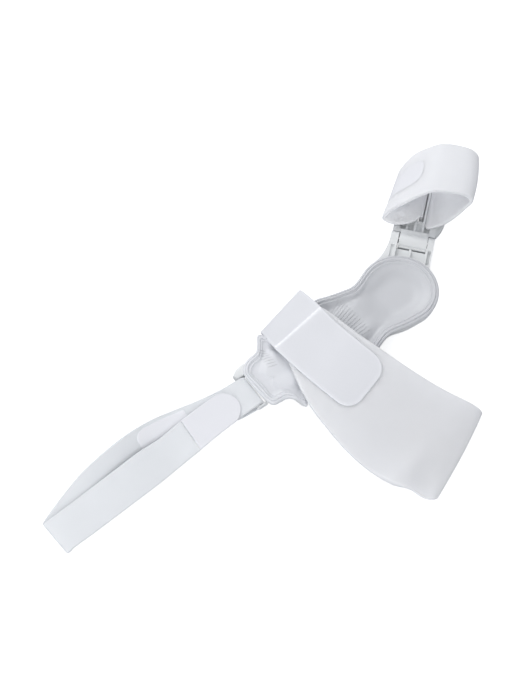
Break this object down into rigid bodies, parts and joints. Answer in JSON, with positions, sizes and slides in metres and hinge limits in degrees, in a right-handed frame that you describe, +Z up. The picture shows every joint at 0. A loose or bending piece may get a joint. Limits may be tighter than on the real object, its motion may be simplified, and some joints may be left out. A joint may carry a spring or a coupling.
{
  "type": "hinged bunion splint",
  "caption": "White hinged bunion splint: moulded shell with a gel liner, hinged toe arm with a padded toe loop, a wide foot loop and a narrow heel loop.",
  "frame": {"origin": "on the table under the middle of the round bunion cup, at the middle of the cup's flat underside", "axes": "+X along the splint from its heel end towards the cup, +Y across it, +Z up from the table, out of the gel side"},
  "size_m": [0.3193, 0.1719, 0.0351],
  "materials": {
    "white_plastic": "white moulded plastic, satin",
    "gel": "pale translucent gel, smooth",
    "pin_steel": "plain steel",
    "padded_fabric": "white padded knit",
    "hook_tab": "white pressed hook tape backing",
    "webbing": "white soft loop webbing"
  },
  "bodies": {
    "splint": {"splint_shell": "white_plastic", "liner": "gel", "hinge_pin": "pin_steel", "foot_band": "padded_fabric", "foot_tab": "hook_tab", "heel_strap": "webbing", "heel_tab": "hook_tab", "heel_patch": "hook_tab"},
    "toe": {"toe_arm": "white_plastic", "toe_band": "padded_fabric", "toe_tab": "hook_tab"}
  },
  "joints": [
    {"name": "toe_hinge", "type": "hinge", "parent": "splint", "child": "toe", "pos_m": [0.03219, 0.02546, 0.006], "axis": [0.6561, -0.7547, 0], "range_deg": [-20, 45]}
  ]
}
